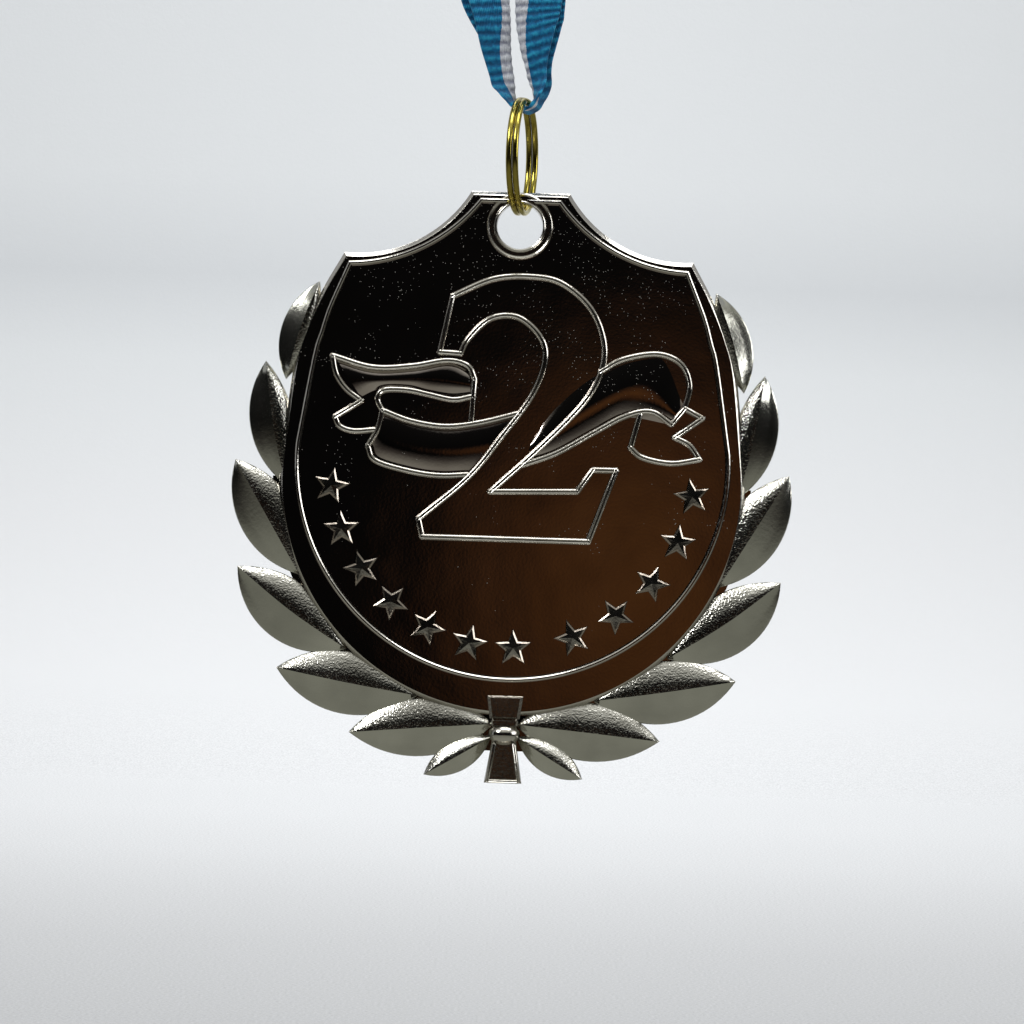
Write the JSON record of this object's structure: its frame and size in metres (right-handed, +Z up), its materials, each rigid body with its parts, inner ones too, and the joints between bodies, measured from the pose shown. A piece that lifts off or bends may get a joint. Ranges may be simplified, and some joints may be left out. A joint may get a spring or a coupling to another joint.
{
  "type": "award medal",
  "caption": "Shield-shaped cast award medal with a laurel wreath, hanging from a split ring on a striped neck ribbon folded into a tied hank.",
  "frame": {"origin": "point on top of the ribbon's loop where a hook or hand carries it; the object hangs below", "axes": "+Z up, +X to the medal's right as its face is looked at, +Y from the face to the back"},
  "size_m": [0.0656, 0.0173, 0.2199],
  "materials": {
    "nickel": "bright black-nickel plating over a zinc casting",
    "brass": "bright spring wire",
    "ribbon_weave": "ribbed satin weave with a white middle stripe",
    "cotton_tape": "plain cotton tape",
    "sewing_thread": "matt polyester thread"
  },
  "bodies": {
    "ribbon": {"ribbon": "ribbon_weave", "ribbon_hank": "ribbon_weave", "hank_tie": "cotton_tape", "seam_thread": "sewing_thread"},
    "ring": {"split_ring": "brass"},
    "medal": {"medal": "nickel"}
  },
  "joints": [
    {"name": "ring_turn", "type": "hinge", "parent": "ribbon", "child": "ring", "pos_m": [0, 0, -0.14657], "axis": [0.9836, -0.1805, 0], "range_deg": [-90, 90]},
    {"name": "medal_swing", "type": "hinge", "parent": "ring", "child": "medal", "pos_m": [0, 0, -0.15314], "axis": [0, 1, 0], "range_deg": [-75, 75]}
  ]
}
